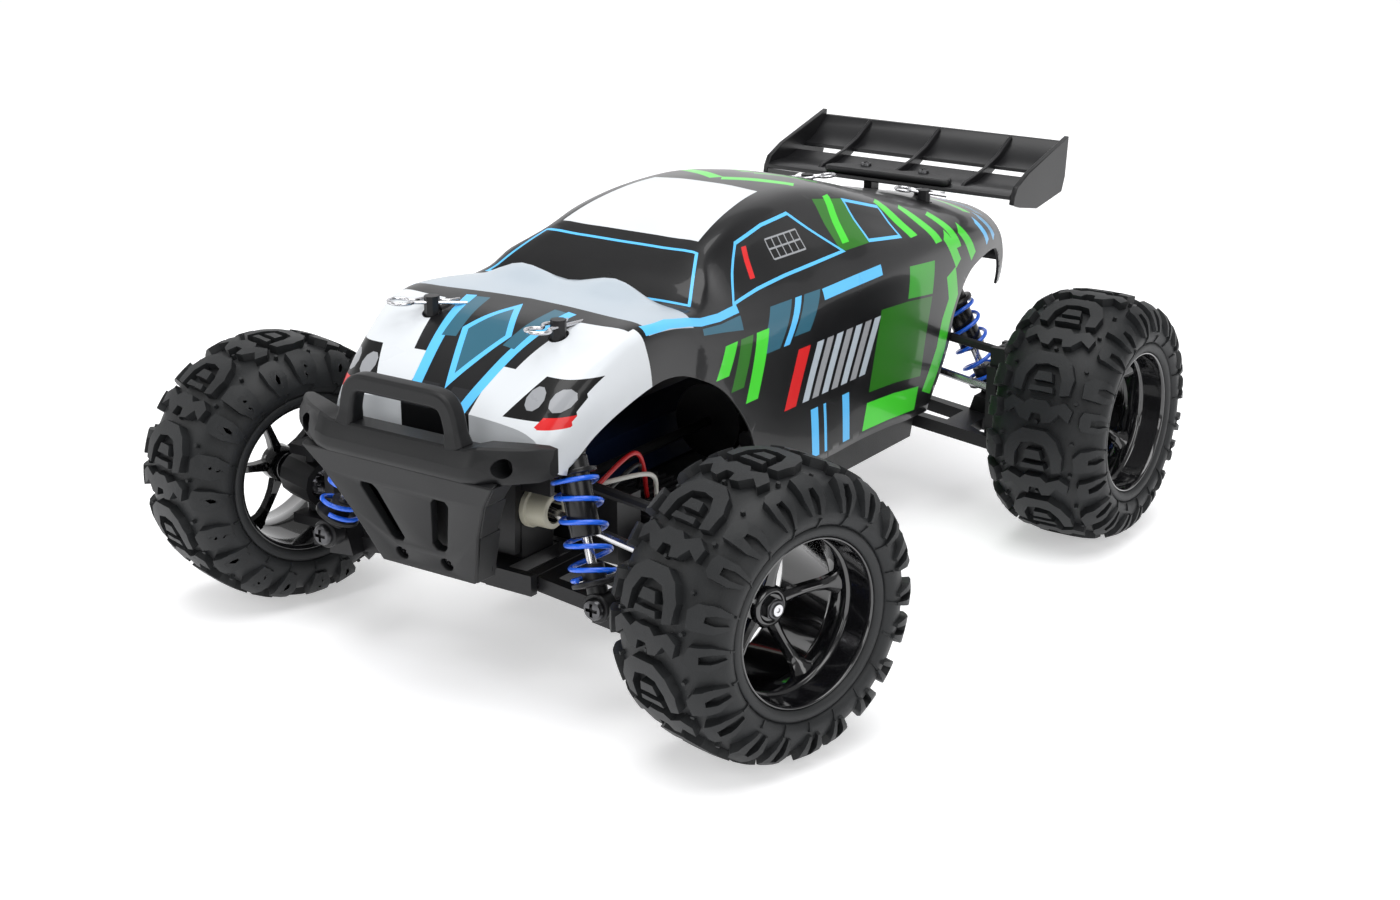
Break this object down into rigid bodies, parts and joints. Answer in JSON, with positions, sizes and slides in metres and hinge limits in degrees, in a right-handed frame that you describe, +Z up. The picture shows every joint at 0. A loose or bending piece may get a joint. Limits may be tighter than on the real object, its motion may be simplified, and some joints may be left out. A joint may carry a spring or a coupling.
{
  "type": "radio-controlled monster truck",
  "caption": "Four-wheel-drive radio-controlled monster truck with sprung independent suspension, steered front wheels, painted shell, front bumper and rear wing.",
  "frame": {"origin": "on the floor, on the centre line, midway between the axles", "axes": "+Z up, the truck faces -Y, +X is its left side"},
  "size_m": [0.2588, 0.3275, 0.1318],
  "materials": {
    "chassis_pan": "black moulded",
    "front_gearbox": "black moulded",
    "rear_gearbox": "black moulded",
    "front_tower": "black moulded",
    "rear_tower": "black moulded",
    "wing_mount": "black moulded",
    "front_bumper": "dark grey moulded",
    "rear_wing": "black moulded",
    "body_shell": "painted polycarbonate: white, black, green and light blue",
    "battery": "blue shrink wrap",
    "motor": "steel can",
    "servo": "black moulded",
    "lower_arm_fl": "black moulded",
    "hub_carrier_fl": "black moulded",
    "upper_link_fl": "black moulded",
    "shock_body_fl": "black moulded",
    "spring_fl": "blue painted wire",
    "shock_rod_fl": "black moulded",
    "dogbone_fl": "plain steel",
    "tyre_fl": "matt black rubber with chunky lugs",
    "rim_fl": "gloss black moulded",
    "axle_fl": "plain steel",
    "steering_knuckle_fl": "black moulded",
    "lower_arm_fr": "black moulded",
    "hub_carrier_fr": "black moulded",
    "upper_link_fr": "black moulded",
    "shock_body_fr": "black moulded",
    "spring_fr": "blue painted wire",
    "shock_rod_fr": "black moulded",
    "dogbone_fr": "plain steel",
    "tyre_fr": "matt black rubber with chunky lugs",
    "rim_fr": "gloss black moulded",
    "axle_fr": "plain steel",
    "steering_knuckle_fr": "black moulded",
    "lower_arm_rl": "black moulded",
    "hub_carrier_rl": "black moulded",
    "upper_link_rl": "black moulded",
    "shock_body_rl": "black moulded",
    "spring_rl": "blue painted wire",
    "shock_rod_rl": "black moulded",
    "dogbone_rl": "plain steel",
    "tyre_rl": "matt black rubber with chunky lugs",
    "rim_rl": "gloss black moulded",
    "axle_rl": "plain steel",
    "lower_arm_rr": "black moulded",
    "hub_carrier_rr": "black moulded",
    "upper_link_rr": "black moulded",
    "shock_body_rr": "black moulded",
    "spring_rr": "blue painted wire",
    "shock_rod_rr": "black moulded",
    "dogbone_rr": "plain steel",
    "tyre_rr": "matt black rubber with chunky lugs",
    "rim_rr": "gloss black moulded",
    "axle_rr": "plain steel",
    "servo_horn": "black moulded",
    "steering_rack": "black moulded",
    "tie_rod_fl": "black moulded",
    "tie_rod_fr": "black moulded",
    "centre_shaft": "cream nylon gear on a steel shaft",
    "motor_pinion": "brass"
  },
  "bodies": {
    "chassis": {"chassis_pan": "chassis_pan", "front_gearbox": "front_gearbox", "rear_gearbox": "rear_gearbox", "front_tower": "front_tower", "rear_tower": "rear_tower", "wing_mount": "wing_mount", "front_bumper": "front_bumper", "rear_wing": "rear_wing", "body_shell": "body_shell", "battery": "battery", "motor": "motor", "servo": "servo"},
    "arm_fl": {"lower_arm_fl": "lower_arm_fl"},
    "carrier_fl": {"hub_carrier_fl": "hub_carrier_fl"},
    "link_fl": {"upper_link_fl": "upper_link_fl"},
    "shock_fl": {"shock_body_fl": "shock_body_fl", "spring_fl": "spring_fl"},
    "shock_rod_fl": {"shock_rod_fl": "shock_rod_fl"},
    "drive_fl": {"dogbone_fl": "dogbone_fl"},
    "wheel_fl": {"tyre_fl": "tyre_fl", "rim_fl": "rim_fl", "axle_fl": "axle_fl"},
    "knuckle_fl": {"steering_knuckle_fl": "steering_knuckle_fl"},
    "arm_fr": {"lower_arm_fr": "lower_arm_fr"},
    "carrier_fr": {"hub_carrier_fr": "hub_carrier_fr"},
    "link_fr": {"upper_link_fr": "upper_link_fr"},
    "shock_fr": {"shock_body_fr": "shock_body_fr", "spring_fr": "spring_fr"},
    "shock_rod_fr": {"shock_rod_fr": "shock_rod_fr"},
    "drive_fr": {"dogbone_fr": "dogbone_fr"},
    "wheel_fr": {"tyre_fr": "tyre_fr", "rim_fr": "rim_fr", "axle_fr": "axle_fr"},
    "knuckle_fr": {"steering_knuckle_fr": "steering_knuckle_fr"},
    "arm_rl": {"lower_arm_rl": "lower_arm_rl"},
    "carrier_rl": {"hub_carrier_rl": "hub_carrier_rl"},
    "link_rl": {"upper_link_rl": "upper_link_rl"},
    "shock_rl": {"shock_body_rl": "shock_body_rl", "spring_rl": "spring_rl"},
    "shock_rod_rl": {"shock_rod_rl": "shock_rod_rl"},
    "drive_rl": {"dogbone_rl": "dogbone_rl"},
    "wheel_rl": {"tyre_rl": "tyre_rl", "rim_rl": "rim_rl", "axle_rl": "axle_rl"},
    "arm_rr": {"lower_arm_rr": "lower_arm_rr"},
    "carrier_rr": {"hub_carrier_rr": "hub_carrier_rr"},
    "link_rr": {"upper_link_rr": "upper_link_rr"},
    "shock_rr": {"shock_body_rr": "shock_body_rr", "spring_rr": "spring_rr"},
    "shock_rod_rr": {"shock_rod_rr": "shock_rod_rr"},
    "drive_rr": {"dogbone_rr": "dogbone_rr"},
    "wheel_rr": {"tyre_rr": "tyre_rr", "rim_rr": "rim_rr", "axle_rr": "axle_rr"},
    "horn": {"servo_horn": "servo_horn"},
    "rack": {"steering_rack": "steering_rack"},
    "tie_fl": {"tie_rod_fl": "tie_rod_fl"},
    "tie_fr": {"tie_rod_fr": "tie_rod_fr"},
    "driveline": {"centre_shaft": "centre_shaft"},
    "pinion": {"motor_pinion": "motor_pinion"}
  },
  "joints": [
    {"name": "suspension_fl", "type": "hinge", "parent": "chassis", "child": "arm_fl", "pos_m": [0.02, -0.10265, 0.0347], "axis": [0, -1, 0], "range_deg": [-11, 13], "stiffness_Nm_per_rad": 2.5, "springref_deg": -2.86},
    {"name": "upright_fl", "type": "hinge", "parent": "arm_fl", "child": "carrier_fl", "pos_m": [0.066, -0.10265, 0.0295], "axis": [0, -1, 0], "range_deg": [-14, 12]},
    {"name": "upper_link_fl", "type": "hinge", "parent": "chassis", "child": "link_fl", "pos_m": [0.02, -0.10265, 0.066], "axis": [0, -1, 0], "range_deg": [-12, 14]},
    {"name": "dogbone_fl", "type": "hinge", "parent": "chassis", "child": "drive_fl", "pos_m": [0.017, -0.10265, 0.0535], "axis": [0, -1, 0], "range_deg": [-12, 14]},
    {"name": "shock_swing_fl", "type": "hinge", "parent": "chassis", "child": "shock_fl", "pos_m": [0.034, -0.11335, 0.083], "axis": [-0.5372, -0.8422, -0.0463], "range_deg": [-3.37, 3.8]},
    {"name": "shock_stroke_fl", "type": "slide", "parent": "shock_fl", "child": "shock_rod_fl", "axis": [0.3701, -0.186, -0.9102], "range_m": [-0.00752, 0.00644], "deforming": ["spring_fl"]},
    {"name": "steer_fl", "type": "hinge", "parent": "carrier_fl", "child": "knuckle_fl", "pos_m": [0.0771, -0.10265, 0.044], "axis": [0, 0, 1], "range_deg": [-10, 40]},
    {"name": "wheel_spin_fl", "type": "hinge", "parent": "knuckle_fl", "child": "wheel_fl", "pos_m": [0.09835, -0.10834, 0.044], "axis": [0.9659, -0.2588, 0], "continuous": true},
    {"name": "suspension_fr", "type": "hinge", "parent": "chassis", "child": "arm_fr", "pos_m": [-0.02, -0.10265, 0.0347], "axis": [0, 1, 0], "range_deg": [-11, 13], "stiffness_Nm_per_rad": 2.5, "springref_deg": -2.86},
    {"name": "upright_fr", "type": "hinge", "parent": "arm_fr", "child": "carrier_fr", "pos_m": [-0.066, -0.10265, 0.0295], "axis": [0, 1, 0], "range_deg": [-14, 12]},
    {"name": "upper_link_fr", "type": "hinge", "parent": "chassis", "child": "link_fr", "pos_m": [-0.02, -0.10265, 0.066], "axis": [0, 1, 0], "range_deg": [-12, 14]},
    {"name": "dogbone_fr", "type": "hinge", "parent": "chassis", "child": "drive_fr", "pos_m": [-0.017, -0.10265, 0.0535], "axis": [0, 1, 0], "range_deg": [-12, 14]},
    {"name": "shock_swing_fr", "type": "hinge", "parent": "chassis", "child": "shock_fr", "pos_m": [-0.034, -0.11335, 0.083], "axis": [-0.5372, 0.8422, 0.0463], "range_deg": [-3.37, 3.8]},
    {"name": "shock_stroke_fr", "type": "slide", "parent": "shock_fr", "child": "shock_rod_fr", "axis": [-0.3701, -0.186, -0.9102], "range_m": [-0.00752, 0.00644], "deforming": ["spring_fr"]},
    {"name": "steer_fr", "type": "hinge", "parent": "carrier_fr", "child": "knuckle_fr", "pos_m": [-0.0771, -0.10265, 0.044], "axis": [0, 0, 1], "range_deg": [-10, 40]},
    {"name": "wheel_spin_fr", "type": "hinge", "parent": "knuckle_fr", "child": "wheel_fr", "pos_m": [-0.09835, -0.09696, 0.044], "axis": [0.9659, -0.2588, 0], "continuous": true},
    {"name": "suspension_rl", "type": "hinge", "parent": "chassis", "child": "arm_rl", "pos_m": [0.02, 0.10265, 0.0347], "axis": [0, -1, 0], "range_deg": [-11, 13], "stiffness_Nm_per_rad": 2.5, "springref_deg": -2.86},
    {"name": "upright_rl", "type": "hinge", "parent": "arm_rl", "child": "carrier_rl", "pos_m": [0.066, 0.10265, 0.0295], "axis": [0, -1, 0], "range_deg": [-14, 12]},
    {"name": "upper_link_rl", "type": "hinge", "parent": "chassis", "child": "link_rl", "pos_m": [0.02, 0.10265, 0.066], "axis": [0, -1, 0], "range_deg": [-12, 14]},
    {"name": "dogbone_rl", "type": "hinge", "parent": "chassis", "child": "drive_rl", "pos_m": [0.017, 0.10265, 0.0535], "axis": [0, -1, 0], "range_deg": [-12, 14]},
    {"name": "shock_swing_rl", "type": "hinge", "parent": "chassis", "child": "shock_rl", "pos_m": [0.034, 0.11335, 0.083], "axis": [0.5372, -0.8422, 0.0463], "range_deg": [-3.37, 3.8]},
    {"name": "shock_stroke_rl", "type": "slide", "parent": "shock_rl", "child": "shock_rod_rl", "axis": [0.3701, 0.186, -0.9102], "range_m": [-0.00752, 0.00644], "deforming": ["spring_rl"]},
    {"name": "wheel_spin_rl", "type": "hinge", "parent": "carrier_rl", "child": "wheel_rl", "pos_m": [0.0991, 0.10265, 0.044], "axis": [1, 0, 0], "continuous": true},
    {"name": "suspension_rr", "type": "hinge", "parent": "chassis", "child": "arm_rr", "pos_m": [-0.02, 0.10265, 0.0347], "axis": [0, 1, 0], "range_deg": [-11, 13], "stiffness_Nm_per_rad": 2.5, "springref_deg": -2.86},
    {"name": "upright_rr", "type": "hinge", "parent": "arm_rr", "child": "carrier_rr", "pos_m": [-0.066, 0.10265, 0.0295], "axis": [0, 1, 0], "range_deg": [-14, 12]},
    {"name": "upper_link_rr", "type": "hinge", "parent": "chassis", "child": "link_rr", "pos_m": [-0.02, 0.10265, 0.066], "axis": [0, 1, 0], "range_deg": [-12, 14]},
    {"name": "dogbone_rr", "type": "hinge", "parent": "chassis", "child": "drive_rr", "pos_m": [-0.017, 0.10265, 0.0535], "axis": [0, 1, 0], "range_deg": [-12, 14]},
    {"name": "shock_swing_rr", "type": "hinge", "parent": "chassis", "child": "shock_rr", "pos_m": [-0.034, 0.11335, 0.083], "axis": [0.5372, 0.8422, -0.0463], "range_deg": [-3.37, 3.8]},
    {"name": "shock_stroke_rr", "type": "slide", "parent": "shock_rr", "child": "shock_rod_rr", "axis": [-0.3701, 0.186, -0.9102], "range_m": [-0.00752, 0.00644], "deforming": ["spring_rr"]},
    {"name": "wheel_spin_rr", "type": "hinge", "parent": "carrier_rr", "child": "wheel_rr", "pos_m": [-0.0991, 0.10265, 0.044], "axis": [1, 0, 0], "continuous": true},
    {"name": "servo_horn_turn", "type": "hinge", "parent": "chassis", "child": "horn", "pos_m": [0.01, -0.0836, 0.0392], "axis": [0, 1, 0], "range_deg": [-39, 9]},
    {"name": "steering_rack_slide", "type": "slide", "parent": "chassis", "child": "rack", "axis": [1, 0, 0], "range_m": [-0.0112, 0.003]},
    {"name": "tie_rod_fl", "type": "hinge", "parent": "rack", "child": "tie_fl", "pos_m": [0.02054, -0.08719, 0.0556], "axis": [0, -1, 0], "range_deg": [-12, 14]},
    {"name": "tie_rod_fr", "type": "hinge", "parent": "rack", "child": "tie_fr", "pos_m": [-0.01226, -0.08719, 0.0556], "axis": [0, 1, 0], "range_deg": [-12, 14]},
    {"name": "centre_shaft_spin", "type": "hinge", "parent": "chassis", "child": "driveline", "pos_m": [0, 0.0115, 0.048], "axis": [0, 1, 0], "continuous": true},
    {"name": "motor_pinion_spin", "type": "hinge", "parent": "chassis", "child": "pinion", "pos_m": [0.01659, 0.009, 0.04386], "axis": [0, 1, 0], "continuous": true}
  ],
  "couplings": [
    {"joint": "upright_fl", "follows": "suspension_fl", "ratio": -1},
    {"joint": "upper_link_fl", "follows": "suspension_fl", "ratio": 1},
    {"joint": "dogbone_fl", "follows": "suspension_fl", "ratio": 0.763},
    {"joint": "shock_swing_fl", "follows": "suspension_fl", "ratio": 0.2155},
    {"joint": "shock_stroke_fl", "follows": "suspension_fl", "m_per_rad": -0.03095},
    {"joint": "steer_fl", "follows": "servo_horn_turn", "ratio": -1},
    {"joint": "upright_fr", "follows": "suspension_fr", "ratio": -1},
    {"joint": "upper_link_fr", "follows": "suspension_fr", "ratio": 1},
    {"joint": "dogbone_fr", "follows": "suspension_fr", "ratio": 0.763},
    {"joint": "shock_swing_fr", "follows": "suspension_fr", "ratio": 0.2155},
    {"joint": "shock_stroke_fr", "follows": "suspension_fr", "m_per_rad": -0.03095},
    {"joint": "steer_fr", "follows": "servo_horn_turn", "ratio": -1},
    {"joint": "upright_rl", "follows": "suspension_rl", "ratio": -1},
    {"joint": "upper_link_rl", "follows": "suspension_rl", "ratio": 1},
    {"joint": "dogbone_rl", "follows": "suspension_rl", "ratio": 0.763},
    {"joint": "shock_swing_rl", "follows": "suspension_rl", "ratio": 0.2155},
    {"joint": "shock_stroke_rl", "follows": "suspension_rl", "m_per_rad": -0.03095},
    {"joint": "upright_rr", "follows": "suspension_rr", "ratio": -1},
    {"joint": "upper_link_rr", "follows": "suspension_rr", "ratio": 1},
    {"joint": "dogbone_rr", "follows": "suspension_rr", "ratio": 0.763},
    {"joint": "shock_swing_rr", "follows": "suspension_rr", "ratio": 0.2155},
    {"joint": "shock_stroke_rr", "follows": "suspension_rr", "m_per_rad": -0.03095},
    {"joint": "steering_rack_slide", "follows": "servo_horn_turn", "m_per_rad": 0.0156},
    {"joint": "tie_rod_fl", "follows": "suspension_fl", "ratio": 0.757},
    {"joint": "tie_rod_fr", "follows": "suspension_fr", "ratio": 0.757},
    {"joint": "motor_pinion_spin", "follows": "centre_shaft_spin", "ratio": -3.6667}
  ]
}
